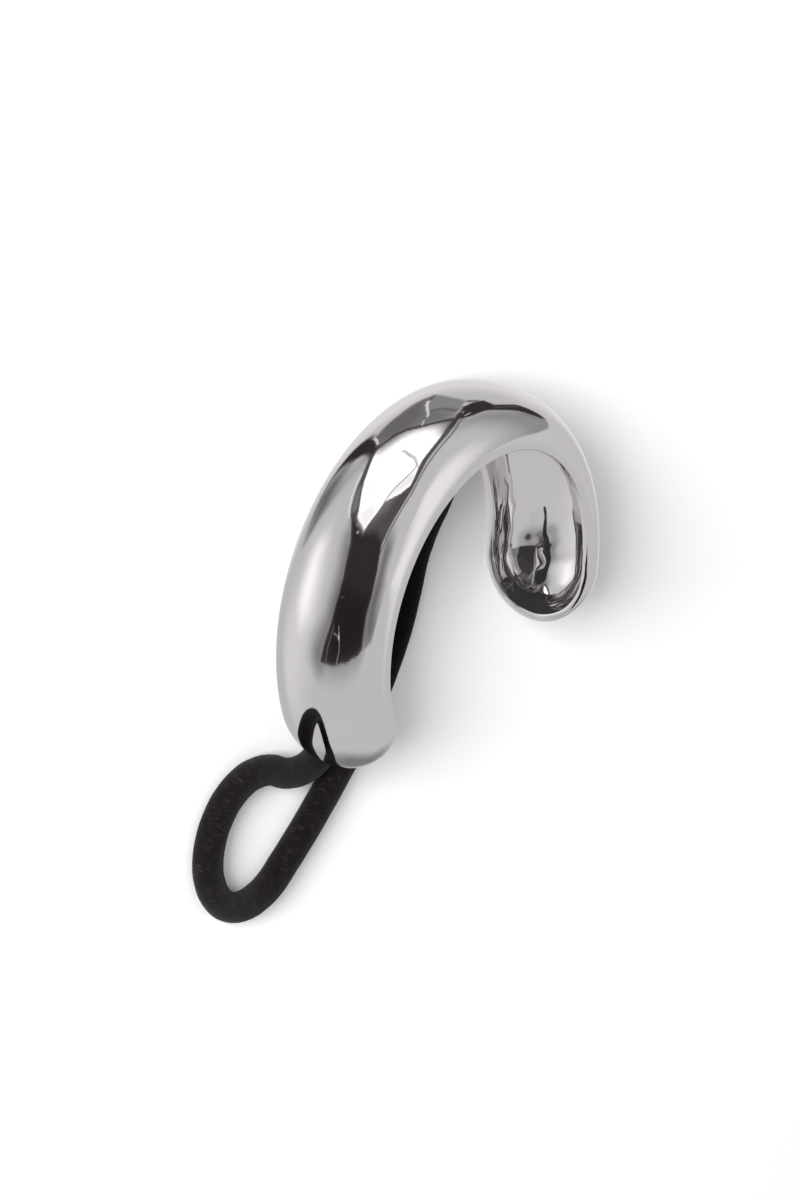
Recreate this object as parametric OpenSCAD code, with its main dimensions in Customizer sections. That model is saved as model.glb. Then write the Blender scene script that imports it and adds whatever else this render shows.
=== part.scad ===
// Ponytail cuff: a polished metal half hoop with a hollow, domed band that lies over a ponytail,
// and an elastic cord that comes out from under its crown and holds the hair in it.
// It lies on its side: the hoop's axis is upright, one rim rests on the surface, the crown is
// at -Y and the mouth between the two tips opens towards +Y.
// The origin is on the hoop's axis, in the plane that the lower rim rests on.

/* [Band] */
// Width of the band from rim to rim
band_w = 16; // [13:0.5:22]
// Radius of the hoop, from its axis to the rims
hoop_r = 21.7; // [20:0.1:28]
// Height that the band's dome rises outwards from the rims
dome_h = 6.9; // [6.5:0.1:9]
// Straight land beside each rim, before the dome begins to curve
rim_land = 0.6; // [0.3:0.1:1.2]
// Thickness of the metal
wall = 1; // [0.7:0.1:1.3]
// Angle that each leg sweeps from the crown, up to its rounded tip
leg_angle = 103; // [85:1:125]
// Fullness of the dome's cross section: 2 is an ellipse, more has squarer shoulders
dome_fullness = 2.15; // [2:0.05:2.6]

/* [Elastic] */
// Diameter of the elastic cord
elastic_d = 4; // [3:0.1:4.4]
// Room between the cord and the bore that holds its end
elastic_fit = 0.15; // [0.05:0.05:0.3]

/* [Socket] */
// Metal left around the two bores
socket_wall = 0.8; // [0.5:0.1:1.5]
// Distance that the socket's mouth lies back from the rims, inside the hollow
socket_set = 0.7; // [0.3:0.1:1.5]
// Depth of each bore
bore_depth = 3; // [2:0.25:3.5]

/* [Hidden] */
$fn = 96;
crown_at = -90;
section_steps = 24;
hair = 0.01;
lap = 2;
half_w = band_w / 2;
bore_r = elastic_d / 2 + elastic_fit;
ends_apart = 2 * bore_r + socket_wall;
socket_w = ends_apart + 2 * (bore_r + socket_wall);
socket_h = 2 * (bore_r + socket_wall);
mouth_r = hoop_r + socket_set;
floor_r = mouth_r + bore_depth;

// The cord's route, chosen by hand, from one bore round the loop and back to the other:
// x and y of its centre, and lift, the share of the way up from lying flat to the bores' height.
route = [
    // x, y, lift
    [2.6, -21, 1], [3.4, -16.8, 0.88], [4.7, -12.7, 0.6], [6.4, -8.7, 0.3], [8.1, -4.6, 0.08],
    [9.7, -0.4, 0], [11.1, 3.9, 0], [12.2, 7.9, 0], [14.4, 12.1, 0], [17.8, 14.8, 0],
    [21.9, 15.6, 0], [25.9, 14.4, 0], [29.7, 11.9, 0], [34.1, 10.8, 0], [38.4, 11.9, 0],
    [41.5, 14.8, 0], [43, 18.9, 0], [42.4, 23.1, 0], [40, 26.6, 0], [36, 28.6, 0],
    [31.3, 28.4, 0], [27.1, 26.4, 0], [23.4, 24.4, 0], [19.2, 21.8, 0], [15.2, 19.1, 0],
    [11.2, 16.3, 0], [7.7, 13, 0], [4.4, 9.3, 0], [1.5, 5.4, 0], [-0.8, 1.1, 0],
    [-2.4, -3.4, 0.05], [-3.3, -8, 0.27], [-3.6, -12.5, 0.6], [-3.1, -16.8, 0.88],
    [-2.6, -21, 1]
];
cord_sides = 8;

// One half of a cross section's dome, from the rim to the crest: a straight land, and then
// points of an oval that follow (across / half) ^ f + (rise / height) ^ f = 1.
function half_dome(half, rise) = concat(
    [[half, 0]],
    [for (i = [0 : section_steps / 2])
        let (a = 180 * i / section_steps)
        [half * pow(cos(a), 2 / dome_fullness),
         rim_land + (rise - rim_land) * pow(sin(a), 2 / dome_fullness)]]);

function reversed(list) = [for (i = [len(list) - 1 : -1 : 0]) list[i]];

// A half dome and its mirror image, as a section across the band: [radius, height].
function across(half, rise) =
    let (side = half_dome(half, rise))
    concat(
        [for (p = side) [hoop_r + p[1], half_w - p[0]]],
        [for (i = [len(side) - 2 : -1 : 0]) [hoop_r + side[i][1], half_w + side[i][0]]]);

// The band between its tips, as a shell swept round the hoop's axis
module band() {
    rotate([0, 0, crown_at - leg_angle])
        rotate_extrude(angle = 2 * leg_angle)
            polygon(concat(across(half_w, dome_h), reversed(across(half_w - wall, dome_h - wall))));
}

// One leg's rounded tip, side is 1 or -1: the band's own wall in half a turn about the radius
// at the leg's end. It laps into the band at both ends of the turn, thinner by a hair inside and
// out so that the lap stays within the band's wall.
module tip(side) {
    rotate([0, 0, crown_at + side * leg_angle])
        translate([hoop_r, 0, half_w])
            rotate([0, 90, 0])
                rotate([0, 0, (side > 0 ? 0 : 180) - lap])
                    rotate_extrude(angle = 180 + 2 * lap)
                        polygon(concat(
                            half_dome(half_w - hair, dome_h - hair),
                            reversed(half_dome(half_w - wall + hair, dome_h - wall + hair))));
}

// The plain block under the crown, soldered to the inside of the band, with a bore for each
// end of the cord. It reaches half way into the metal of the wall.
module socket() {
    turn = asin(socket_w / 2 / mouth_r);
    difference() {
        rotate([0, 0, crown_at - turn])
            rotate_extrude(angle = 2 * turn)
                intersection() {
                    polygon(across(half_w - wall / 2, dome_h - wall / 2));
                    translate([mouth_r, half_w - socket_h / 2])
                        square([dome_h, socket_h]);
                }
        for (side = [-1, 1])
            translate([side * ends_apart / 2, 0, half_w])
                rotate([90, 0, 0])
                    cylinder(h = floor_r, r = bore_r);
    }
}

module cuff() {
    color([0.76, 0.74, 0.75])
        union() {
            band();
            tip(1);
            tip(-1);
            socket();
        }
}

function ring(points, i) =
    let (before = points[max(i - 1, 0)])
    let (after = points[min(i + 1, len(points) - 1)])
    let (along = (after - before) / norm(after - before))
    let (flat = [-along[1], along[0], 0])
    let (side = flat / norm(flat))
    let (up = cross(along, side))
    [for (k = [0 : cord_sides - 1])
        let (a = 360 * (k + 0.5) / cord_sides)
        points[i] + elastic_d / 2 * (cos(a) * side + sin(a) * up)];

// The cord: a plain tube with a ring of points round each point of its route
module elastic() {
    lying = elastic_d / 2;
    end_y = -floor_r;
    inner = [for (p = route) [p[0], p[1], lying + p[2] * (half_w - lying)]];
    points = concat(
        [[ends_apart / 2, end_y, half_w]], inner, [[-ends_apart / 2, end_y, half_w]]);
    last = len(points) - 1;
    color([0.09, 0.08, 0.09])
        polyhedron(
            points = [for (i = [0 : last]) each ring(points, i)],
            faces = concat(
                [[for (k = [0 : cord_sides - 1]) k]],
                [for (i = [0 : last - 1], k = [0 : cord_sides - 1])
                    let (next = (k + 1) % cord_sides)
                    [i * cord_sides + next, i * cord_sides + k,
                     (i + 1) * cord_sides + k, (i + 1) * cord_sides + next]],
                [[for (k = [cord_sides - 1 : -1 : 0]) last * cord_sides + k]]));
}

cuff();
elastic();
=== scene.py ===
"""Ponytail cuff: a mirror-polished metal half hoop that lies on its side, with a loop of cord.

Lengths are in metres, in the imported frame: the hoop's axis is Z, the crown is at -Y and the
mouth between the two tips opens towards +Y. The lower rim rests on the floor at Z = 0.
"""
import math

import bmesh
import bpy
import numpy as np
from bpy.props import FloatProperty, FloatVectorProperty, IntProperty, PointerProperty
from bpy.types import Operator, Panel, PropertyGroup
from mathutils import Matrix, Vector


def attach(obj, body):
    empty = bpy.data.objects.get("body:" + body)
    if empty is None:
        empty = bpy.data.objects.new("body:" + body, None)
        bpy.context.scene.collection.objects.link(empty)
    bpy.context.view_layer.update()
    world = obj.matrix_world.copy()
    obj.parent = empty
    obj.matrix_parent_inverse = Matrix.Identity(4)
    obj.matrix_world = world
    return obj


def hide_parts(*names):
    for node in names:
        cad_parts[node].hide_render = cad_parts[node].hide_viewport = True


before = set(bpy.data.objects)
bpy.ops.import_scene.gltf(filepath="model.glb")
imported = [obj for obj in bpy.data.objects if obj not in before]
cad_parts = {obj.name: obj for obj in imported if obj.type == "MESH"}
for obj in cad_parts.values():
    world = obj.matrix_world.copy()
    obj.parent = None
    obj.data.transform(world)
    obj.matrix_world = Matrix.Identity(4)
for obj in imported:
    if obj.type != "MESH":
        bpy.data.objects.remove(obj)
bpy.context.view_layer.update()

bl_info = {
    "name": "Ponytail Cuff",
    "version": (1, 0, 0),
    "blender": (4, 5, 0),
    "location": "3D View > Sidebar > Cuff",
    "description": "Builds a polished ponytail cuff with its elastic cord, and a pale studio",
    "category": "Object",
}

MM = 0.001
TINY = 1e-12

# The camera: the way from the metal to it, the picture's upward direction, its aim to the right
# of the hoop's middle and above it in widths of the band, its lens in millimetres, and its
# distance
CAMERA_WAY = (0.68777, -0.50331, 0.52312)
CAMERA_UP = (-0.4305, -0.8630, -0.2643)
CAMERA_AIM = (-0.3205, -0.0055)
CAMERA_LENS = 321.4
CAMERA_DISTANCE = 0.90997

# The middle of the key light, which faces the metal
KEY_PLACE = (1.2, -0.8, 0.52)

# The socket's edges that turn by more than this are rounded
SHARP_EDGE = math.radians(50)

# Points of the cord in a metre of it, and its route: x, y and height of the centreline's points,
# the same ones as in the part's source
CORD_STEPS = 12500
CORD_ROUTE = MM * np.array([
    [2.55, -25.4, 8], [2.6, -21, 8], [3.4, -16.8, 7.28], [4.7, -12.7, 5.6], [6.4, -8.7, 3.8],
    [8.1, -4.6, 2.48], [9.7, -0.4, 2], [11.1, 3.9, 2], [12.2, 7.9, 2], [14.4, 12.1, 2],
    [17.8, 14.8, 2], [21.9, 15.6, 2], [25.9, 14.4, 2], [29.7, 11.9, 2], [34.1, 10.8, 2],
    [38.4, 11.9, 2], [41.5, 14.8, 2], [43, 18.9, 2], [42.4, 23.1, 2], [40, 26.6, 2],
    [36, 28.6, 2], [31.3, 28.4, 2], [27.1, 26.4, 2], [23.4, 24.4, 2], [19.2, 21.8, 2],
    [15.2, 19.1, 2], [11.2, 16.3, 2], [7.7, 13, 2], [4.4, 9.3, 2], [1.5, 5.4, 2],
    [-0.8, 1.1, 2], [-2.4, -3.4, 2.3], [-3.3, -8, 3.62], [-3.6, -12.5, 5.6], [-3.1, -16.8, 7.28],
    [-2.6, -21, 8], [-2.55, -25.4, 8],
])


def length(name, text, default):
    """A length property in metres."""
    return FloatProperty(
        name=name, description=text, default=default, min=0.0, unit="LENGTH", precision=5)


def share(name, text, default):
    """A property that runs from 0 to 1."""
    return FloatProperty(name=name, description=text, default=default, min=0.0, max=1.0)


def amount(name, text, default):
    """A property without a unit, from 0 up."""
    return FloatProperty(name=name, description=text, default=default, min=0.0)


def colour(name, text, default):
    """A linear colour property."""
    return FloatVectorProperty(
        name=name, description=text, default=default, size=3, subtype="COLOR", min=0.0, max=1.0)


def angle(name, text, degrees):
    """An angle property, whose default is given in degrees."""
    return FloatProperty(
        name=name, description=text, default=math.radians(degrees), subtype="ANGLE")


class CuffMetal(PropertyGroup):
    """Sizes and finish of the metal."""

    band_width: length("Band width", "Width from rim to rim", 16 * MM)
    hoop_radius: length("Hoop radius", "From the hoop's axis to the rims", 21.7 * MM)
    dome_height: length("Dome height", "Rise of the band above its rims", 6.9 * MM)
    rim_land: length("Rim land", "Straight part of the wall beside each rim", 0.6 * MM)
    wall: length("Wall", "Thickness of the metal", 1 * MM)
    rim_rounding: length("Rim rounding", "Radius of the rims' polished edges", 0.22 * MM)
    leg_angle: angle("Leg angle", "From the crown to where each tip begins", 103)
    dome_fullness: FloatProperty(
        name="Dome fullness", description="2 is an ellipse, more has squarer shoulders",
        default=2.15, min=1.5, max=4.0)
    waviness: length("Waviness", "Height of the faint waves that polishing leaves", 0.004 * MM)
    wave_length: length("Wave length", "Distance between those waves", 9 * MM)
    hollow_waviness: length(
        "Hollow waviness", "Height of the hollow's uneven casting, at the tips", 0.035 * MM)
    hollow_wave_length: length("Hollow wave length", "Distance between those waves", 2.6 * MM)
    bore_depth: length("Bore depth", "Depth of the bores for the cord's ends", 3 * MM)
    socket_wall: length("Socket wall", "Metal around the bores", 0.8 * MM)
    socket_set: length("Socket set", "How far the socket lies back from the rims", 0.7 * MM)
    socket_edge: length("Socket edge", "Rounding of the socket's edges", 0.25 * MM)
    bore_play: length("Bore play", "Room between the cord and its bore", 0.15 * MM)
    tint: colour("Metal colour", "Colour of the polished metal", (0.757, 0.738, 0.741))
    edge_tint: colour(
        "Edge tint", "How much light the metal mirrors near its outline", (0.88, 0.87, 0.87))
    roughness: share("Metal roughness", "Haze of the polish", 0.035)
    hollow_dullness: share(
        "Hollow dullness", "Share of the hollow's skin that isn't polished", 0.015)


class CuffCord(PropertyGroup):
    """Sizes and finish of the elastic cord."""

    diameter: length("Cord diameter", "Thickness of the elastic", 4 * MM)
    yarn_pitch: length("Yarn pitch", "Distance between the cover's cross yarns", 0.42 * MM)
    yarn_relief: length("Yarn relief", "How far the yarns stand out", 0.045 * MM)
    fuzz_length: length("Fuzz length", "Length of the loose fibres", 0.34 * MM)
    fuzz_width: length("Fuzz width", "Thickness of the loose fibres", 0.018 * MM)
    fuzz_count: IntProperty(
        name="Fuzz count", description="Number of loose fibres", default=8000, min=0)
    yarn_colour: colour("Yarn colour", "Colour of the cover", (0.0067, 0.0052, 0.0054))
    fuzz_colour: colour("Fuzz colour", "Colour of the loose fibres", (0.0155, 0.0128, 0.0130))


class CuffStudio(PropertyGroup):
    """Floor, light and surroundings."""

    floor_colour: colour("Floor colour", "Colour of the plain floor", (0.93, 0.93, 0.93))
    sky_colour: colour("Sky colour", "Colour of the soft light from all sides", (1.0, 1.0, 1.0))
    sky_strength: amount("Sky strength", "Light from all sides", 0.5)
    key_power: amount("Key power", "Power of the key light, in watts", 52.0)
    key_size: length("Key size", "Side of the square key light", 0.5)
    surround: colour("Surroundings", "Colour of what the metal mirrors", (1.0, 0.99, 0.995))
    surround_deep: colour(
        "Dark surroundings", "Colour of its darkest shades", (1.0, 0.70, 0.74))
    surround_gain: amount("Surroundings gain", "Light of a white shade", 1.38)


# Meshes

def new_mesh(name, points, faces, smooth=True, corners=None):
    """A mesh object from an array of points and an array of quads or triangles. corners are
    the texture coordinates of the faces' corners."""
    mesh = bpy.data.meshes.new(name)
    sides = faces.shape[1]
    mesh.vertices.add(len(points))
    mesh.vertices.foreach_set("co", np.asarray(points, np.float32).ravel())
    mesh.loops.add(faces.size)
    mesh.loops.foreach_set("vertex_index", faces.astype(np.int32).ravel())
    mesh.polygons.add(len(faces))
    mesh.polygons.foreach_set("loop_start", np.arange(len(faces), dtype=np.int32) * sides)
    mesh.polygons.foreach_set("use_smooth", np.full(len(faces), smooth))
    if corners is not None:
        mesh.uv_layers.new(name="lie").data.foreach_set("uv", corners.astype(np.float32).ravel())
    mesh.update(calc_edges=True)
    mesh.validate()
    piece = bpy.data.objects.new(name, mesh)
    bpy.context.scene.collection.objects.link(piece)
    return piece


def grid_faces(rows, columns, wrap=False):
    """Quads of a grid whose points are numbered row by row. wrap joins the last column to the
    first."""
    r = np.arange(rows - 1)[:, None] * columns
    c = np.arange(columns if wrap else columns - 1)[None, :]
    n = (c + 1) % columns
    return np.stack([r + c, r + n, r + columns + n, r + columns + c], -1).reshape(-1, 4)


def joined_grids(grids):
    """Points and quads of several grids of points. Each comes with wrap, as for grid_faces."""
    points, faces, count = [], [], 0
    for grid, wrap in grids:
        points.append(grid.reshape(-1, 3))
        faces.append(grid_faces(*grid.shape[:2], wrap) + count)
        count += len(points[-1])
    return np.concatenate(points), np.concatenate(faces)


def welded_piece(name, points, faces, reach, corners=None):
    """A smooth object from quads, with points that lie within reach of each other joined and
    collapsed sides taken out."""
    piece = new_mesh(name, points, faces, corners=corners)
    work = bmesh.new()
    work.from_mesh(piece.data)
    bmesh.ops.remove_doubles(work, verts=work.verts, dist=reach)
    bmesh.ops.dissolve_degenerate(work, edges=work.edges, dist=reach / 10)
    bmesh.ops.recalc_face_normals(work, faces=work.faces)
    work.to_mesh(piece.data)
    work.free()
    piece.data.polygons.foreach_set("use_smooth", np.full(len(piece.data.polygons), True))
    piece.data.update()
    return piece


def half_section(metal, arc=46, turn=5):
    """Half of the band's wall in section, from the crest of the outside round the rim to the
    crest of the inside, as rows of (across, rise). The dome's points follow
    (across / half) ** f + (rise / height) ** f = 1 above the straight land, and each edge of
    the rim is a quarter circle. arc and turn are the counts of their points."""
    half, high, land = metal.band_width / 2, metal.dome_height, metal.rim_land
    wall, r, power = metal.wall, metal.rim_rounding, 2 / metal.dome_fullness
    a = np.linspace(math.pi / 2, 0, arc)
    outer = np.stack([half * np.cos(a) ** power,
                      land + (high - land) * np.sin(a) ** power], 1)
    b = np.linspace(0, math.pi / 2, turn)
    edge_out = np.stack([half - r + r * np.cos(b), r - r * np.sin(b)], 1)
    edge_in = np.stack([half - wall + r - r * np.sin(b), r - r * np.cos(b)], 1)
    inner = np.stack([(half - wall) * np.cos(a[::-1]) ** power,
                      land + (high - wall - land) * np.sin(a[::-1]) ** power], 1)
    # Both crests lie exactly in the middle
    outer[0, 0] = 0
    inner[-1, 0] = 0
    return np.concatenate([outer, edge_out, edge_in, inner])


def leg_point(metal, turn, along, across, rise):
    """Points of a section carried round the hoop: turn is the angle from the crown, along goes
    straight on from there, across is up from the band's middle, and rise is out from the rims'
    radius."""
    radial = np.stack([np.sin(turn), -np.cos(turn), 0 * turn], -1)
    onward = np.stack([np.cos(turn), np.sin(turn), 0 * turn], -1)
    up = np.array([0.0, 0.0, 1.0])
    return (radial * (metal.hoop_radius + rise)[..., None] + onward * along[..., None]
            + up * (across + metal.band_width / 2)[..., None])


def cuff_shell(metal, steps=260, tip_steps=72):
    """The hollow band with its two tips, as one closed surface. The band is the section
    carried round the hoop. Each tip is the same half section turned half round about the
    radius at the leg's end."""
    half = half_section(metal)
    loop = np.concatenate([half, (half * [-1, 1])[::-1][1:-1]])
    turn = np.linspace(-metal.leg_angle, metal.leg_angle, steps + 1)[:, None]
    across, rise = loop[None, :, 0] + 0 * turn, loop[None, :, 1] + 0 * turn
    grids = [(leg_point(metal, turn + 0 * across, 0 * across, across, rise), True)]
    swing = np.linspace(0, math.pi, tip_steps + 1)[:, None]
    for side in (-1, 1):
        across = half[None, :, 0] * np.cos(swing)
        along = side * half[None, :, 0] * np.sin(swing)
        rise = half[None, :, 1] + 0 * swing
        at = np.full(across.shape, side * metal.leg_angle)
        grids.append((leg_point(metal, at, along, across, rise), False))
    return joined_grids(grids)


def polish_waves(points, wave_length):
    """Faint unevenness from hand polishing, between -1 and 1: a sum of four plane waves in
    directions that don't line up."""
    ways = np.array([[0.31, 0.83, 0.46], [-0.72, 0.35, 0.60], [0.55, -0.41, 0.73],
                     [0.90, 0.22, -0.37]])
    k = 2 * math.pi / wave_length * np.array([1.0, 1.37, 0.81, 1.83])
    shift = np.array([0.3, 1.9, 4.1, 2.6])
    share_of = np.array([0.4, 0.25, 0.25, 0.1])
    return np.sin(points @ ways.T * k + shift) @ share_of


def hollow_share(metal, at, outermost=0.92, fade=0.12):
    """How far each point of the shell is in the hollow, 0 on the outside and 1 on the inside,
    and how near it is to a tip. The first comes from the value of
    (across / half) ** f + (rise / height) ** f, which is 1 on the outside and smaller within:
    the hollow begins at the outermost value and fades in. The second is the cube of the share
    of the leg's angle."""
    turn = np.arctan2(at[:, 0], -at[:, 1])
    held = np.clip(turn, -metal.leg_angle, metal.leg_angle)
    outward = at[:, 0] * np.sin(held) - at[:, 1] * np.cos(held)
    onward = at[:, 0] * np.cos(held) + at[:, 1] * np.sin(held)
    across = np.hypot(at[:, 2] - metal.band_width / 2, onward) / (metal.band_width / 2)
    rise = np.clip((outward - metal.hoop_radius) / metal.dome_height, 0, None)
    value = across ** metal.dome_fullness + rise ** metal.dome_fullness
    return (np.clip((outermost - value) / fade, 0, 1),
            np.clip(np.abs(turn) / metal.leg_angle, 0, 1) ** 3)


def uneven(metal, at, crown_share=0.1):
    """Height of the metal's waves at each point: faint ones from polishing all over, and those
    of the casting in the hollow, which grow towards the tips from a share at the crown."""
    inside, to_tip = hollow_share(metal, at)
    return (metal.waviness * polish_waves(at, metal.wave_length)
            + metal.hollow_waviness * inside * (crown_share + (1 - crown_share) * to_tip)
            * polish_waves(at, metal.hollow_wave_length))


def read_points(mesh, key="co"):
    """The places of a mesh's points, or their normals, as rows of x, y and z."""
    values = np.empty(len(mesh.vertices) * 3, np.float32)
    mesh.vertices.foreach_get(key, values)
    return values.reshape(-1, 3)


def keep_value(mesh, name, values):
    """Keeps a number for each point of a mesh, as an attribute."""
    layer = mesh.attributes.new(name, "FLOAT", "POINT")
    layer.data.foreach_set("value", values.astype(np.float32))


def push(mesh, offset):
    """Moves each point of a mesh along its own normal."""
    at = read_points(mesh)
    at = at + read_points(mesh, "normal") * offset(at)[:, None]
    mesh.vertices.foreach_set("co", at.ravel())
    mesh.update()


def ray_ends(c, s, right, left, high):
    """Where rays from a middle, given by their cosines and sines, end at a rectangle that
    reaches right, left and both ways high. The nearest ray is moved onto each corner."""
    edge = np.minimum(np.where(c > 0, right, left) / np.abs(c), high / np.abs(s))
    ends = np.stack([edge * c, edge * s], 1)
    for x, z in ((right, high), (-left, high), (-left, -high), (right, -high)):
        ends[np.argmin(np.hypot(ends[:, 0] - x, ends[:, 1] - z))] = x, z
    return ends


def socket_sides(metal, edge, side, rings=8):
    """The outer sides of one half of the socket, from its face's edge straight out from the
    hoop's axis into the band's wall, and the fan that closes them there."""
    middle = metal.band_width / 2
    mouth = metal.hoop_radius + metal.socket_set
    back = metal.hoop_radius + metal.dome_height - metal.wall / 2
    # The edge has no side where the two halves meet
    edge = edge[np.abs(edge[:, 0]) > TINY]
    edge = edge[np.argsort(np.arctan2(edge[:, 2] - middle, side * edge[:, 0]))]
    first, last = ([[0, -mouth, point[2]]] for point in (edge[0], edge[-1]))
    edge = np.concatenate([first, edge, last])
    share_out = np.linspace(0, 1, rings)[:, None, None]
    radius = np.hypot(edge[:, 0], edge[:, 1])[None, :, None]
    outwards = (radius + (back - radius) * share_out) / radius
    sides = np.concatenate([edge[None, :, :2] * outwards,
                            np.broadcast_to(edge[None, :, 2:], outwards.shape)], -1)
    fan = np.stack([sides[-1], np.broadcast_to([0, -back, middle], sides[-1].shape)])
    return [(sides, False), (fan, False)]


def socket_half(metal, cord, side, columns=64, rings=7, spread=1.3, deep=10, floor_rings=6):
    """The grids of one half of the socket, seen from the hoop's axis. The face is a fan of rays
    from the bore's circle to the half's rectangle, whose rings stand at a power of their share
    of the way, on a cylinder round the hoop's axis. The bore goes on inwards as a tube to its
    floor, which is a disc."""
    bore = cord.diameter / 2 + metal.bore_play
    to_rim, to_middle = bore + metal.socket_wall, bore + metal.socket_wall / 2
    middle_x, middle_z = side * to_middle, metal.band_width / 2
    mouth = metal.hoop_radius + metal.socket_set
    floor_y = -(mouth + metal.bore_depth)
    t = (np.arange(columns) + 0.5) / columns * 2 * math.pi
    c, s = np.cos(t), np.sin(t)
    circle = bore * np.stack([c, s], 1)
    right, left = (to_rim, to_middle) if side > 0 else (to_middle, to_rim)
    reach = ray_ends(c, s, right, left, to_rim) - circle
    flat = circle + reach * np.linspace(0, 1, rings)[:, None, None] ** spread
    x, z = flat[..., 0] + middle_x, flat[..., 1] + middle_z
    face = np.stack([x, -np.sqrt(mouth ** 2 - x ** 2), z], -1)
    depth = np.linspace(0, 1, deep)[:, None]
    tube = np.stack([0 * depth + x[0], face[0, :, 1] + (floor_y - face[0, :, 1]) * depth,
                     0 * depth + z[0]], -1)
    shrink = np.linspace(1, 0, floor_rings)[:, None]
    disc = np.stack([middle_x + circle[:, 0] * shrink, floor_y + 0 * shrink * c,
                     middle_z + circle[:, 1] * shrink], -1)
    return [(face, True), (tube, True), (disc, True), *socket_sides(metal, face[-1], side)]


def socket_block(metal, cord):
    """The block for the cord's ends: two halves, with a bore in each."""
    return joined_grids([grid for side in (-1, 1) for grid in socket_half(metal, cord, side)])


def smooth_line(route, per_metre, fine_per_point=64):
    """A smooth line through the route's points, evenly spaced: cubic pieces whose slope at a
    point is that of the two chords beside it, weighted by nearness. Gives points and distance."""
    gap = np.linalg.norm(np.diff(route, axis=0), axis=1)
    at = np.concatenate([[0], np.cumsum(gap)])
    chord = np.diff(route, axis=0) / gap[:, None]
    both = (gap[1:] + gap[:-1])[:, None]
    inner = (chord[:-1] * gap[1:, None] + chord[1:] * gap[:-1, None]) / both
    slope = np.concatenate([chord[:1], inner, chord[-1:]])
    fine = np.linspace(0, at[-1], fine_per_point * len(route))
    i = np.clip(np.searchsorted(at, fine, side="right") - 1, 0, len(gap) - 1)
    h, u = gap[i][:, None], ((fine - at[i]) / gap[i])[:, None]
    line = ((2 * u ** 3 - 3 * u ** 2 + 1) * route[i] + (u ** 3 - 2 * u ** 2 + u) * h * slope[i]
            + (-2 * u ** 3 + 3 * u ** 2) * route[i + 1] + (u ** 3 - u ** 2) * h * slope[i + 1])
    run = np.concatenate([[0], np.cumsum(np.linalg.norm(np.diff(line, axis=0), axis=1))])
    even = np.linspace(0, run[-1], int(run[-1] * per_metre))
    return np.stack([np.interp(even, run, line[:, k]) for k in range(3)], 1), even


def line_frame(line):
    """The line's own direction at each point, the level one square to it, and the upward one
    square to both. The line never stands upright."""
    along = np.gradient(line, axis=0)
    along /= np.linalg.norm(along, axis=1, keepdims=True)
    side = np.cross([0.0, 0.0, 1.0], along)
    side /= np.linalg.norm(side, axis=1, keepdims=True)
    return along, side, np.cross(along, side)


def cord_radius(cord, run, around):
    """The cord's radius at a distance along it and an angle around it: a plain round, out of
    which fine yarns stand. They run nearly straight across and are shifted along by two waves,
    their height changes by the product of two waves, and a long wave swells the whole. A wave
    is given by its radians in a metre along the cord, and its turns in one turn around it."""
    def wave(along, turns):
        return np.sin(run * along + turns * around)

    slanted = run + 0.0001 * wave(900, 2) + 0.00006 * wave(2300, 5)
    yarn = 0.5 + 0.5 * np.cos(2 * math.pi * slanted / cord.yarn_pitch)
    height = 0.6 + 0.4 * wave(1700, 3) * wave(410, -2)
    swell = 0.000005 * wave(330, 1)
    return cord.diameter / 2 - cord.yarn_relief * (1 - yarn * height) + swell


def cord_tube(cord, around=40):
    """The covered cord: a tube carried along the smooth line, whose first and last ring shrink
    to a point. Its texture coordinates are millimetres along it and around it, with the seam
    underneath."""
    line, run = smooth_line(CORD_ROUTE, CORD_STEPS)
    _, side, up = line_frame(line)
    seam = -0.25
    a = (np.arange(around) / around + seam) * 2 * math.pi
    radius = cord_radius(cord, run[:, None], a[None, :])
    ring = side[:, None] * np.cos(a)[None, :, None] + up[:, None] * np.sin(a)[None, :, None]
    points = line[:, None] + ring * radius[..., None]
    ends = [np.broadcast_to(line[k], (1, around, 3)) for k in (0, -1)]
    points = np.concatenate([ends[0], points, ends[1]])
    at = np.concatenate([run[:1], run, run[-1:]])
    step = np.arange(around)[None]
    u = np.stack([at[:-1], at[:-1], at[1:], at[1:]], 1)[:, None] + 0 * step[..., None]
    v = np.stack([step, step + 1, step + 1, step], -1) * cord.diameter * math.pi / around + 0 * u
    corners = np.stack([u, v], -1).reshape(-1, 2) / MM
    return points.reshape(-1, 3), grid_faces(len(points), around, wrap=True), corners


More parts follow.
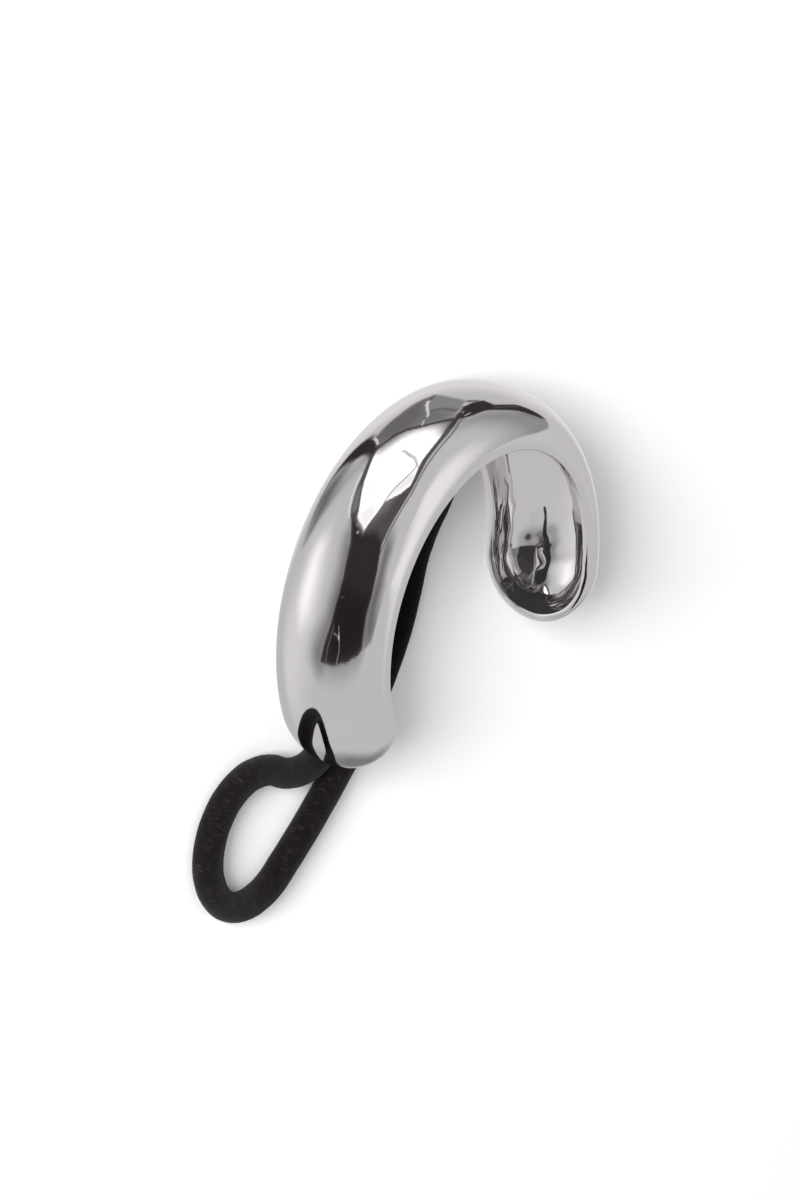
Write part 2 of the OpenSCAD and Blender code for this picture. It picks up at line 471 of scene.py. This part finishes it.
def cord_fuzz(cord, seed=7, bare=60, root_share=0.485, lowest_share=0.02):
    """Loose fibres on the cover: thin three-sided spikes that bend over once, leaning any way.
    They are rooted evenly along and around the cord, apart from the bare steps at each end, at
    a share of the diameter from its middle, and none lies lower than a share of it. A fibre's
    lean and bend are sideways steps for one step outwards, and its length a share of the
    longest."""
    lean_spread, bend_spread, lean_along = 1.3, 0.7, 0.3
    shortest, length_power = 0.35, 1.5
    bend_at, knee_width = 0.5, 0.8
    dice = np.random.default_rng(seed)
    line, _ = smooth_line(CORD_ROUTE, CORD_STEPS)
    along, side, up = line_frame(line)
    count = cord.fuzz_count
    i = dice.integers(bare, len(line) - bare, count)
    a = dice.uniform(0, 2 * math.pi, count)[:, None]
    out = side[i] * np.cos(a) + up[i] * np.sin(a)
    around = -side[i] * np.sin(a) + up[i] * np.cos(a)
    root = line[i] + out * cord.diameter * root_share
    lean = dice.normal(0, lean_spread, (count, 2))
    sway = around * lean[:, :1] + along[i] * lean_along * lean[:, 1:]
    size = cord.fuzz_length * dice.uniform(shortest, 1.0, count)[:, None] ** length_power
    way = out + sway
    way /= np.linalg.norm(way, axis=1, keepdims=True)
    bend = way + around * dice.normal(0, bend_spread, (count, 1))
    bend /= np.linalg.norm(bend, axis=1, keepdims=True)
    knee = root + way * size * bend_at
    tip = knee + bend * size * (1 - bend_at)
    low = cord.diameter * lowest_share
    knee[:, 2] = np.maximum(knee[:, 2], low)
    tip[:, 2] = np.maximum(tip[:, 2], low)
    wide = cord.fuzz_width / 2
    u = np.cross(way, along[i])
    u /= np.linalg.norm(u, axis=1, keepdims=True) + TINY
    v = np.cross(way, u)
    # A fibre's points: three round its root, a third of a turn apart, three round its knee,
    # and its tip
    corners = [u * wide, (-0.5 * u + 0.87 * v) * wide, (-0.5 * u - 0.87 * v) * wide]
    points = np.stack([root + c for c in corners] + [knee + knee_width * c for c in corners]
                      + [tip], 1)
    # Its faces: three sides up to the knee, three up to the tip, and the foot
    faces = np.array([[0, 1, 4], [0, 4, 3], [1, 2, 5], [1, 5, 4], [2, 0, 3], [2, 3, 5],
                      [3, 4, 6], [4, 5, 6], [5, 3, 6], [0, 2, 1]])
    first = np.arange(count)[:, None, None] * points.shape[1]
    return points.reshape(-1, 3), (first + faces).reshape(-1, 3)


# Materials

def fill(made, sockets):
    """Fills a node's sockets, given by name or number: what is another node's socket is linked
    to them, and any other value is set on them."""
    for key, value in sockets.items():
        if isinstance(value, bpy.types.NodeSocket):
            made.id_data.links.new(value, made.inputs[key])
        else:
            made.inputs[key].default_value = value


def add(tree, kind, sockets, **settings):
    """Adds a node to a tree, with its settings and then its sockets."""
    made = tree.nodes.new(kind)
    for key, value in settings.items():
        setattr(made, key, value)
    fill(made, sockets)
    return made


def new_material(name):
    """A new material, with its tree and its shader."""
    mat = bpy.data.materials.new(name)
    mat.use_nodes = True
    return mat, mat.node_tree, mat.node_tree.nodes["Principled BSDF"]


def object_place(tree):
    """A point's place on the piece."""
    return add(tree, "ShaderNodeTexCoord", {}).outputs["Object"]


def scaled(tree, place, by):
    """A place, stretched by a factor for each of its directions."""
    return add(tree, "ShaderNodeMapping", {"Vector": place, "Scale": by}).outputs["Vector"]


def noise(tree, place, **sockets):
    """A soft random pattern over a place, around 0.5."""
    return add(tree, "ShaderNodeTexNoise", {"Vector": place, **sockets}).outputs["Fac"]


def ramp(tree, value, start, end, low=0.0, high=1.0, **settings):
    """Runs from low to high as the value goes from start to end."""
    sockets = {"Value": value, "From Min": start, "From Max": end, "To Min": low, "To Max": high}
    return add(tree, "ShaderNodeMapRange", sockets, **settings).outputs["Result"]


def work_out(tree, operation, a, b):
    """The result of an operation on two values."""
    return add(tree, "ShaderNodeMath", {0: a, 1: b}, operation=operation).outputs["Value"]


def mixed(tree, factor, a, b, **settings):
    """What lies between a and b, by a factor from 0 to 1."""
    sockets = {"Factor": factor, "A": a, "B": b}
    return add(tree, "ShaderNodeMix", sockets, **settings).outputs["Result"]


def two_tones(tree, factor, tint, low, high):
    """A colour between two tones of a tint, low and high times it, by a factor."""
    a, b = ((*(np.array(tint) * by), 1) for by in (low, high))
    return mixed(tree, factor, a, b, data_type="RGBA")


def relief(tree, height, strength, distance):
    """A normal that is bent by a pattern's height."""
    sockets = {"Height": height, "Strength": strength, "Distance": distance}
    return add(tree, "ShaderNodeBump", sockets).outputs["Normal"]


def polished_metal(metal):
    """Mirror-polished metal: haze that varies softly, fine polishing hairlines in the gloss,
    and a slightly darker tone where handling has dulled it. The hollow is a little dull."""
    mat, tree, shader = new_material("polished_metal")
    hollow = add(tree, "ShaderNodeAttribute", {}, attribute_name="hollow").outputs["Fac"]
    place = object_place(tree)
    cloud = noise(tree, place, Scale=90.0, Detail=3.0, Roughness=0.6)
    hairlines = noise(tree, scaled(tree, place, (1.0, 1.0, 0.12)),
                      Scale=2600.0, Detail=2.0, Roughness=0.6)
    fill(shader, {
        "Base Color": two_tones(tree, cloud, metal.tint, (0.965, 0.96, 0.96), 1),
        "Metallic": ramp(tree, hollow, 0, 1, 1, 1 - metal.hollow_dullness),
        "Roughness": ramp(tree, cloud, 0, 1, metal.roughness * 0.6, metal.roughness * 1.6),
        "Specular Tint": (*metal.edge_tint, 1),
        "Normal": relief(tree, hairlines, 0.012, 0.2 * MM),
    })
    return mat


def cord_cover(cord):
    """Knitted cover: near-black yarn with fine hairs that lie across the cord, lighter where
    they rise in worn places, and a soft sheen. Its pattern is in millimetres."""
    mat, tree, shader = new_material("elastic_cover")
    place = add(tree, "ShaderNodeUVMap", {}, uv_map="lie").outputs["UV"]
    hairs = noise(tree, scaled(tree, place, (7.0, 0.9, 1.0)),
                  Scale=1.0, Detail=3.0, Roughness=0.65, Distortion=0.6)
    worn = noise(tree, place, Scale=0.8, Detail=3.0, Roughness=0.6)
    lighter = work_out(tree, "MULTIPLY",
                       ramp(tree, hairs, 0.50, 0.74, interpolation_type="SMOOTHSTEP"),
                       ramp(tree, worn, 0.35, 0.70))
    fill(shader, {
        "Base Color": two_tones(tree, lighter, cord.yarn_colour, 0.7, 6.0),
        "Roughness": 0.95,
        "Specular IOR Level": 0.12,
        "Sheen Weight": 0.05,
        "Sheen Roughness": 0.5,
        "Normal": relief(tree, hairs, 0.7, 0.08 * MM),
    })
    return mat


def fuzz_fibre(cord):
    """Single fibres: a little lighter than the cover, with a tone that changes from place to
    place."""
    mat, tree, shader = new_material("elastic_fuzz")
    patch = noise(tree, object_place(tree), Scale=700.0, Detail=1.0)
    fill(shader, {
        "Base Color": two_tones(tree, patch, cord.fuzz_colour, 0.3, 1.8),
        "Roughness": 0.7,
    })
    return mat


def floor_paper(studio):
    """Matte white paper with the faintest mottling."""
    mat, tree, shader = new_material("floor_paper")
    patch = noise(tree, object_place(tree), Scale=30.0, Detail=2.0)
    fill(shader, {
        "Base Color": two_tones(tree, patch, studio.floor_colour, 0.995, 1),
        "Roughness": 0.9,
        "Specular IOR Level": 0.1,
    })
    return mat


# Surroundings

# What the metal mirrors, drawn in (azimuth, elevation) degrees seen from the cuff: azimuth is 0
# at -Y and 90 at +X. Each row is a name, a shade from 0, black, to 1, the width in degrees over
# which its edge fades, the width of its line or 0 for a filled outline, and its points. Later
# rows lie over earlier ones, and all lie over the plain shade.
PLAIN_SHADE = 0.72
SURROUNDINGS = [
    ("light above", 0.88, 20, 0, [(-130, 48), (-62, 48), (-42, 52), (-30, 62), (-42, 76),
                                  (-130, 80)]),
    ("light below", 0.85, 28, 0, [(-130, -10), (-88, -6), (-78, -22), (-69, -38), (-56, -50),
                                  (-58, -61), (-80, -68), (-130, -66)]),
    ("foot shade", 0.47, 30, 0, [(-196, -6), (-192, 4), (-182, 10), (-166, 13), (-152, 12),
                                 (-145, 4), (-144, -8), (-147, -20), (-156, -28), (-170, -30),
                                 (-186, -26), (-194, -18)]),
    ("foot shade behind", 0.47, 30, 0, [(164, -6), (168, 4), (178, 10), (194, 13), (208, 12),
                                        (215, 4), (216, -8), (213, -20), (204, -28), (190, -30),
                                        (174, -26), (166, -18)]),
    ("haze above", 0.40, 28, 0, [(26, 44), (50, 55), (100, 55), (124, 68), (130, 80), (60, 78),
                                 (26, 64)]),
    ("right wall", PLAIN_SHADE, 3, 0, [(99, -30), (99, 20), (101, 36), (103, 46), (106, 55),
                                       (110, 61), (116, 66), (124, 70), (150, 74), (150, -30)]),
    ("edge shade", 0.50, 30, 3, [(107, 54), (103, 35), (102, 0), (102, -16)]),
    ("wide glow", 0.80, 30, 0, [(34, -44), (60, -34), (108, -34), (140, -40), (162, -50),
                                (150, -70), (110, -72), (40, -62)]),
    ("white glow", 0.98, 24, 0, [(44, -42), (62, -36), (82, -36), (92, -46), (84, -56), (56, -56),
                                 (44, -50)]),
    ("shade below", 0.44, 22, 12, [(38, -14), (50, -9), (64, -7), (78, -9), (90, -15),
                                   (98, -20)]),
    ("floor shade", 0.60, 22, 8, [(-10, -44), (0, -50), (12, -64)]),
    ("lower haze", 0.40, 26, 0, [(-78, -75), (-60, -73), (-34, -66), (-24, -59), (4, -61),
                                 (16, -69), (30, -82), (-60, -84)]),
    ("grey lens", 0.54, 24, 0, [(-112, 35), (-100, 12), (-80, 7), (-50, 7), (-42, 16), (-70, 29),
                                (-98, 35)]),
    ("lens edge", 0.44, 14, 2, [(-105, 27), (-101, 20), (-97, 11), (-84, 12)]),
    ("left wall", 0.74, 1.6, 0, [(-116, 40), (-109, 33), (-103, 26), (-100, 20), (-97, 13),
                                 (-95, 6), (-92, 2), (-100, -3), (-116, -4), (-122, 30)]),
    ("dark room", 0.31, 2, 0, [(-12, 26), (-6, 34), (0, 38), (6, 39.4), (36, 40.6), (38, 44),
                               (44, 49), (50, 53.5), (57, 56), (66, 57.5), (75, 56.5), (84, 55.6),
                               (92, 54.6), (100, 55), (105, 56), (103, 46), (101, 36), (100, 20),
                               (100, 8), (101, 0), (101, -8), (100.5, -16), (94, -13),
                               (88, -10.5), (80, -6), (74, -4), (66, -3), (58, -4), (52, -6),
                               (46, -8.5), (41, -11.5), (36, -16.5), (32, -21.5), (29, -26),
                               (24, -29.5), (16, -32), (8, -34.3), (0, -37), (-11, -40),
                               (-18, -36), (-12, 0)]),
    ("room top", 0.40, 7, 2.4, [(70, 57), (84, 56.4), (101, 58)]),
    ("room dark", 0.195, 6, 0, [(34, 36), (37, 42), (44, 47.6), (50, 52), (57, 54.6), (66, 56),
                               (84, 54), (100, 53.6), (101, 44), (99.5, 34), (99, 8), (100, 0),
                               (99.5, -14), (94, -11.6), (88, -9), (80, -4.6), (66, -1.6),
                               (58, -2.6), (52, -4.6), (46, -7), (41, -10), (31, -21), (32, -12),
                               (36, -3), (35, 8), (32, 24)]),
    ("room depth", 0.155, 16, 0, [(62, -2), (96, -2), (97, 50), (66, 52)]),
    ("panel light", 0.43, 14, 0, [(10, 22), (20, 20), (28, 9), (25, 3), (10, 6)]),
    ("window", 1.08, 1.4, 0, [(-42, 2), (-36, 9), (-28, 15), (-19, 19), (-11, 22), (-7, 27),
                              (-3, 30.5), (0, 30.8), (3, 28.6), (8, 24.4), (11, 20.4), (14, 14.6),
                              (17, 9), (24, 6.5), (30, 3.5), (34, 1), (33, -3), (31, -10),
                              (28, -17), (22, -21.5), (15, -26.5), (8, -30.5), (0, -33.5),
                              (-8, -35.5), (-16, -37), (-25, -31), (-28, -22), (-31, -15),
                              (-36, -6)]),
    ("window's haze", 0.92, 8, 0, [(-5, 29), (2, 28), (9, 20), (14, 10), (8, 12), (-6, 21)]),
    ("window's right", 0.95, 8, 0, [(22, 6), (34, 1), (31, -10), (27, -17), (20, -6)]),
    ("window bar", 0.60, 1.8, 1.2, [(-9, 19), (-9.6, 6), (-10.8, -14)]),
    ("window sill", 0.57, 2.2, 1.5, [(-9, 18.6), (-4, 18), (2, 14.8), (9, 11), (17, 8.8)]),
    ("window foot", 0.86, 2.4, 0.8, [(8, -20), (18, -19.6), (27, -17)]),
    ("grey corner", 0.44, 1.5, 0, [(9, -31.4), (16, -27.4), (23, -22.2), (26, -22), (27, -26),
                                   (23, -29), (15, -31.6)]),
    ("bright spot", 0.66, 1.6, 1.4, [(36.2, -8.4), (36.2, -5.8)]),
    ("lower spot", 0.52, 1.6, 1.2, [(31.6, -13.2), (32.2, -11)]),
    ("light rim", 0.90, 1.8, 0.9, [(3, -37.8), (10, -35.6), (18, -33.4), (25, -30.6),
                                   (30, -26.4)]),
    ("light rim's end", 0.60, 2.4, 1.0, [(30, -26.4), (33, -22), (37, -16.6), (43, -11.8)]),
    ("lamp arc", 0.66, 2.0, 0.9, [(81.5, 7), (84, 8.2), (86.5, 9.6), (90, 11), (94, 11.3),
                                  (99.5, 8.6)]),
    ("lamp", 1.0, 2.4, 1.0, [(85.4, 8.4), (87, 9.4)]),
    ("lamp stem", 0.66, 1.4, 0.6, [(86.5, 9), (85.4, 0.4)]),
    ("lamp foot", 0.44, 2.0, 1.0, [(82, -1), (86, -3.4), (92, -6), (99.5, -8)]),
    ("thin stem", 0.60, 1.1, 0.4, [(67.2, 5.4), (67.8, 0.6)]),
    ("teardrop", 0.42, 16, 0, [(-44, 7), (-31, 7), (-32, 0), (-30, -10), (-27, -19), (-22, -26),
                               (-12, -32.6), (-12, -40), (-30, -40), (-44, -4)]),
    ("grey patch", 0.51, 3, 0, [(-58, -16), (-52, -9.5), (-46, -6), (-41, -3), (-39, -2),
                                (-31, -16), (-28, -22), (-25, -31), (-16, -37), (-20, -40),
                                (-30, -48), (-40, -47), (-48, -44), (-57, -41), (-64, -37.5),
                                (-66, -33.5), (-63, -29), (-60, -24)]),
    ("patch side", 0.445, 5, 0, [(-43, -8), (-38, -8), (-30, -22), (-28, -36), (-44, -40)]),
    ("patch foot", 0.40, 7, 0, [(-63, -36), (-44, -29), (-30, -27), (-20, -38), (-30, -47),
                                (-44, -45)]),
    ("patch fold", 0.35, 5, 2, [(-47.5, -9), (-46.5, -18), (-44, -26)]),
    ("patch line", 0.97, 1.5, 0.9, [(-58, -33.2), (-52, -31.4), (-46, -28.4), (-38, -22.4)]),
    ("patch spark", 0.84, 1.6, 0.8, [(-34.4, -21.4), (-31, -18.4)]),
    ("line's tail", 0.34, 2, 0.9, [(-67, -35.2), (-58.5, -33.2)]),
    ("diagonal", 0.20, 3, 2, [(-40, 0), (-35, -8), (-31, -15), (-28.5, -21), (-27, -27),
                              (-24, -32), (-16, -37)]),
    ("lower dark", 0.20, 5, 0, [(-44, -54), (-36, -50.5), (-27, -45.5), (-20, -40), (-15, -37),
                                (-10, -39), (-14, -44), (-18, -51), (-22, -57), (-30, -62),
                                (-38, -65.5), (-50, -67.5), (-62, -70.5), (-82, -74), (-64, -66.5),
                                (-53, -61), (-47, -57)]),
    ("lower line", 0.97, 1.6, 1.0, [(-34, -50), (-28, -46.8), (-20, -40.4)]),
    ("streak", 0.21, 2.4, 0, [(-94.5, 6), (-92, 9), (-86, 10.4), (-76, 9.6), (-68, 8.8),
                              (-60, 7), (-52, 7.4), (-46, 5.6), (-41, 3), (-44, -2), (-48, -5),
                              (-52, -9), (-58, -10), (-65, -8.4), (-66.5, 0.6), (-73, 0.9),
                              (-80, -0.4), (-86, 2.4), (-91, 4)]),
    ("streak's tail", 0.36, 3, 2.6, [(-62, -10), (-58.5, -14)]),
    ("streak gap", 0.36, 2, 1, [(-80, 2.6), (-74, 4), (-66, 4.6)]),
    ("spark", 0.80, 1.8, 1.1, [(-50.6, 2.4), (-47.6, 3)]),
    ("low spark", 0.68, 1.4, 0.8, [(-48.6, -3.4), (-46.6, -0.4)]),
    ("tail spark", 0.72, 2, 1.1, [(-56.6, -13.2), (-54.6, -11.2)]),
    ("upper band", 0.33, 2.4, 6, [(-42, 3), (-38, 6.6), (-30, 13.4), (-22, 17.8), (-14, 21.8),
                                  (-10, 25.6), (-6, 30.6), (0, 35.4)]),
    ("band's root", 0.24, 3, 3, [(-46, -2), (-42, 2.6), (-37.4, 8)]),
    ("outer line", 0.40, 3.2, 2.2, [(-44, 5.4), (-41, 10), (-38, 14.2), (-34, 19.2), (-30, 22.4),
                                    (-22, 26.4), (-14, 30.6), (-10, 34.6), (-6, 38.6), (-2, 41.6),
                                    (4, 43), (14, 43.2), (26, 44), (37, 45)]),
    ("line between", 0.66, 1.8, 1.0, [(-43.4, 5), (-38, 11.8), (-34, 16.2), (-30, 18.8),
                                      (-22, 23.4), (-14, 27), (-10, 31), (-6, 35.6), (-2, 38.8),
                                      (4, 40.4), (20, 41)]),
]

# The light of a shade is its value to this power. Shades under DEEP_BELOW take on the colour of
# the darkest ones, by the share that they lack of it to the power DEEP_POWER.
LIGHT_POWER = 2.2
DEEP_BELOW = 0.76
DEEP_POWER = 3

# The dome's mesh in degrees: its fine and coarse steps, and where they are fine
DOME_STEPS = (0.6, 1.8)
FINE_AZIMUTHS = (-98, 104)
FINE_ELEVATIONS = (-52, 58)

# How far the outlines waver, in degrees
WAVER = 0.35


def fine_steps(low, high, inner_low, inner_high):
    """Places from low to high, a fine step apart in the inner range and a coarse step outside."""
    fine, coarse = DOME_STEPS
    return np.unique(np.concatenate([
        np.linspace(low, inner_low, int((inner_low - low) / coarse) + 1),
        np.linspace(inner_low, inner_high, int((inner_high - inner_low) / fine) + 1),
        np.linspace(inner_high, high, int((high - inner_high) / coarse) + 1)]))


def edge_distance(at, points, width):
    """Distance in degrees from each place to a closed outline, negative inside, where the sign
    comes from how many sides a ray crosses. With a width, it is the distance to the edge of a
    line of that width through the points."""
    a = np.array(points, float)
    b = np.roll(a, -1, axis=0)
    if width:
        a, b = a[:-1], b[:-1]
    nearest = np.full(len(at), np.inf)
    inside = np.zeros(len(at), bool)
    for p, q in zip(a, b):
        side = q - p
        t = np.clip(((at - p) @ side) / (side @ side), 0, 1)
        nearest = np.minimum(nearest, np.hypot(*(at - p - t[:, None] * side).T))
        if not width and side[1]:
            crosses = (p[1] > at[:, 1]) != (q[1] > at[:, 1])
            inside ^= crosses & (at[:, 0] < p[0] + (at[:, 1] - p[1]) * side[0] / side[1])
    return nearest - width / 2 if width else np.where(inside, -nearest, nearest)


def surroundings_glow(studio):
    """Emission whose shade is built up from the rows of SURROUNDINGS. Each row's distance is an
    attribute of the mesh, and the edge is found in the shader, so it stays sharp between the
    mesh's points."""
    mat, tree, _ = new_material("surroundings")
    tree.nodes.clear()
    shade = PLAIN_SHADE
    for name, value, soft, _, _ in SURROUNDINGS:
        away = add(tree, "ShaderNodeAttribute", {}, attribute_name=name).outputs["Fac"]
        cover = ramp(tree, away, soft / 2, -soft / 2, interpolation_type="SMOOTHSTEP")
        shade = mixed(tree, cover, shade, value)
    deep = work_out(tree, "POWER", ramp(tree, shade, 0, DEEP_BELOW, 1, 0), DEEP_POWER)
    light = work_out(tree, "POWER", shade, LIGHT_POWER)
    glow = add(tree, "ShaderNodeEmission", {
        "Color": mixed(tree, deep, (*studio.surround, 1), (*studio.surround_deep, 1),
                       data_type="RGBA"),
        "Strength": work_out(tree, "MULTIPLY", light, studio.surround_gain),
    })
    add(tree, "ShaderNodeOutputMaterial", {"Surface": glow.outputs["Emission"]})
    mat.cycles.emission_sampling = "NONE"
    return mat


def surroundings(studio, far=3.0):
    """A sphere of shades around the cuff, seen only in the metal. Every mesh point keeps its
    distance to each row of SURROUNDINGS, from a place that two slanted sine waves shift a
    little, so the outlines waver."""
    across = fine_steps(-180, 180, *FINE_AZIMUTHS)
    up = fine_steps(-90, 90, *FINE_ELEVATIONS)
    height, azimuth = np.meshgrid(up, across, indexing="ij")
    at = np.stack([azimuth, height], -1).reshape(-1, 2)
    wavering = at + WAVER * np.stack([np.sin(at[:, 1] * 0.31 + at[:, 0] * 0.09),
                                      np.sin(at[:, 0] * 0.27 - at[:, 1] * 0.13)], 1)
    a, h = np.radians(at[:, 0]), np.radians(at[:, 1])
    points = far * np.stack([np.cos(h) * np.sin(a), -np.cos(h) * np.cos(a), np.sin(h)], 1)
    dome = new_mesh("surroundings", points, grid_faces(len(up), len(across)))
    for name, _, _, width, outline in SURROUNDINGS:
        keep_value(dome.data, name, edge_distance(wavering, outline, width))
    dome.data.materials.append(surroundings_glow(studio))
    for kind in ("camera", "diffuse", "transmission", "volume_scatter", "shadow"):
        setattr(dome, f"visible_{kind}", False)
    return dome


def studio_floor(studio, rings=60, around=96, flat_rings=0.6, flat=1.4, wide=3.2, high=1.2):
    """A round floor that curves up into a low wall: flat to a radius, then a quarter of an
    ellipse. flat_rings is the share of the rings that lie in the flat part."""
    q = np.linspace(0, 1, rings)
    bend = np.clip((q - flat_rings) / (1 - flat_rings), 0, 1) * math.pi / 2
    radius = np.where(q < flat_rings, flat * q / flat_rings,
                      flat + (wide - flat) * np.sin(bend))
    height = high * (1 - np.cos(bend))
    a = np.arange(around) / around * 2 * math.pi
    points = np.stack([radius[:, None] * np.cos(a), radius[:, None] * np.sin(a),
                       height[:, None] + 0 * a], -1).reshape(-1, 3)
    floor = welded_piece("floor", points, grid_faces(rings, around, wrap=True), 1e-6)
    floor.data.materials.append(floor_paper(studio))
    floor.visible_glossy = False
    return floor


# Operators

class CUFF_OT_camera(Operator):
    """Set the camera at the photo's viewing angle to the metal"""
    bl_idname = "cuff.camera"
    bl_label = "Camera"

    def execute(self, context):
        width = context.scene.cuff_metal.band_width
        toward = Vector(CAMERA_WAY).normalized()
        right = Vector(CAMERA_UP).cross(toward).normalized()
        up = toward.cross(right)
        aside, above = CAMERA_AIM
        aim = Vector((0, 0, width / 2)) + (aside * right + above * up) * width
        data = bpy.data.cameras.new("camera")
        data.sensor_fit = "HORIZONTAL"
        data.sensor_width = 36
        data.lens = CAMERA_LENS
        data.clip_start = 0.05
        data.clip_end = 20
        camera = bpy.data.objects.new("camera", data)
        place = Matrix((right, up, toward)).transposed().to_4x4()
        place.translation = aim + toward * CAMERA_DISTANCE
        camera.matrix_world = place
        context.scene.collection.objects.link(camera)
        context.scene.camera = camera
        return {"FINISHED"}


class CUFF_OT_cord(Operator):
    """Build the elastic cord with its fuzz"""
    bl_idname = "cuff.cord"
    bl_label = "Elastic Cord"

    def execute(self, context):
        cord = context.scene.cuff_cord
        points, faces, corners = cord_tube(cord)
        tube = welded_piece("elastic_cord", points, faces, 1e-7, corners)
        tube.data.materials.append(cord_cover(cord))
        fuzz = new_mesh("elastic_fuzz", *cord_fuzz(cord), smooth=False)
        fuzz.data.materials.append(fuzz_fibre(cord))
        for piece in (tube, fuzz):
            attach(piece, "root")
            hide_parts("elastic")
        return {"FINISHED"}


class CUFF_OT_shell(Operator):
    """Build the hollow metal band with its rounded tips"""
    bl_idname = "cuff.shell"
    bl_label = "Metal Band"

    def execute(self, context):
        metal = context.scene.cuff_metal
        shell = welded_piece("cuff_shell", *cuff_shell(metal), 2e-7)
        push(shell.data, lambda at: uneven(metal, at))
        inside, _ = hollow_share(metal, read_points(shell.data))
        keep_value(shell.data, "hollow", inside)
        shell.data.materials.append(polished_metal(metal))
        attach(shell, "root")
        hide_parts("cuff")
        return {"FINISHED"}


class CUFF_OT_socket(Operator):
    """Build the socket block under the crown"""
    bl_idname = "cuff.socket"
    bl_label = "Cord Socket"

    def execute(self, context):
        metal, cord = context.scene.cuff_metal, context.scene.cuff_cord
        block = welded_piece("cord_socket", *socket_block(metal, cord), 1e-6)
        edge = block.modifiers.new("edges", "BEVEL")
        edge.width = metal.socket_edge
        edge.segments = 3
        edge.limit_method = "ANGLE"
        edge.angle_limit = SHARP_EDGE
        block.data.materials.append(polished_metal(metal))
        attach(block, "root")
        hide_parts("cuff")
        return {"FINISHED"}


class CUFF_OT_stage(Operator):
    """Lay the floor and set the soft light"""
    bl_idname = "cuff.stage"
    bl_label = "Studio"

    def execute(self, context):
        studio = context.scene.cuff_studio
        studio_floor(studio)
        surroundings(studio)
        world = bpy.data.worlds.new("studio")
        world.use_nodes = True
        sky = world.node_tree.nodes["Background"]
        sky.inputs["Color"].default_value = (*studio.sky_colour, 1)
        sky.inputs["Strength"].default_value = studio.sky_strength
        context.scene.world = world
        data = bpy.data.lights.new("key", "AREA")
        data.energy = studio.key_power
        data.size = studio.key_size
        lamp = bpy.data.objects.new("key", data)
        place = Vector(KEY_PLACE)
        lamp.matrix_world = Matrix.LocRotScale(place, place.to_track_quat("Z", "Y"), None)
        lamp.visible_glossy = False
        context.scene.collection.objects.link(lamp)
        context.scene.view_settings.view_transform = "Standard"
        return {"FINISHED"}


class CUFF_PT_panel(Panel):
    """Sizes, colours and buttons of the ponytail cuff"""
    bl_idname = "CUFF_PT_panel"
    bl_label = "Ponytail Cuff"
    bl_space_type = "VIEW_3D"
    bl_region_type = "UI"
    bl_category = "Cuff"

    def draw(self, context):
        scene = context.scene
        for group in (scene.cuff_metal, scene.cuff_cord, scene.cuff_studio):
            box = self.layout.box()
            for key in group.__annotations__:
                box.prop(group, key)
        for operator in OPERATORS:
            self.layout.operator(operator.bl_idname)


OPERATORS = (CUFF_OT_camera, CUFF_OT_cord, CUFF_OT_shell, CUFF_OT_socket, CUFF_OT_stage)
CLASSES = (CuffMetal, CuffCord, CuffStudio, *OPERATORS, CUFF_PT_panel)


def register():
    """Adds the classes, and the three groups of properties to the scene."""
    for cls in CLASSES:
        bpy.utils.register_class(cls)
    bpy.types.Scene.cuff_metal = PointerProperty(type=CuffMetal)
    bpy.types.Scene.cuff_cord = PointerProperty(type=CuffCord)
    bpy.types.Scene.cuff_studio = PointerProperty(type=CuffStudio)


def unregister():
    """Takes the classes and the groups of properties away again."""
    del bpy.types.Scene.cuff_studio
    del bpy.types.Scene.cuff_cord
    del bpy.types.Scene.cuff_metal
    for cls in reversed(CLASSES):
        bpy.utils.unregister_class(cls)


def main():
    """Makes the camera, the pieces and the stage."""
    register()
    bpy.ops.cuff.camera()
    bpy.ops.cuff.cord()
    bpy.ops.cuff.shell()
    bpy.ops.cuff.socket()
    bpy.ops.cuff.stage()


if __name__ == "__main__":
    main()
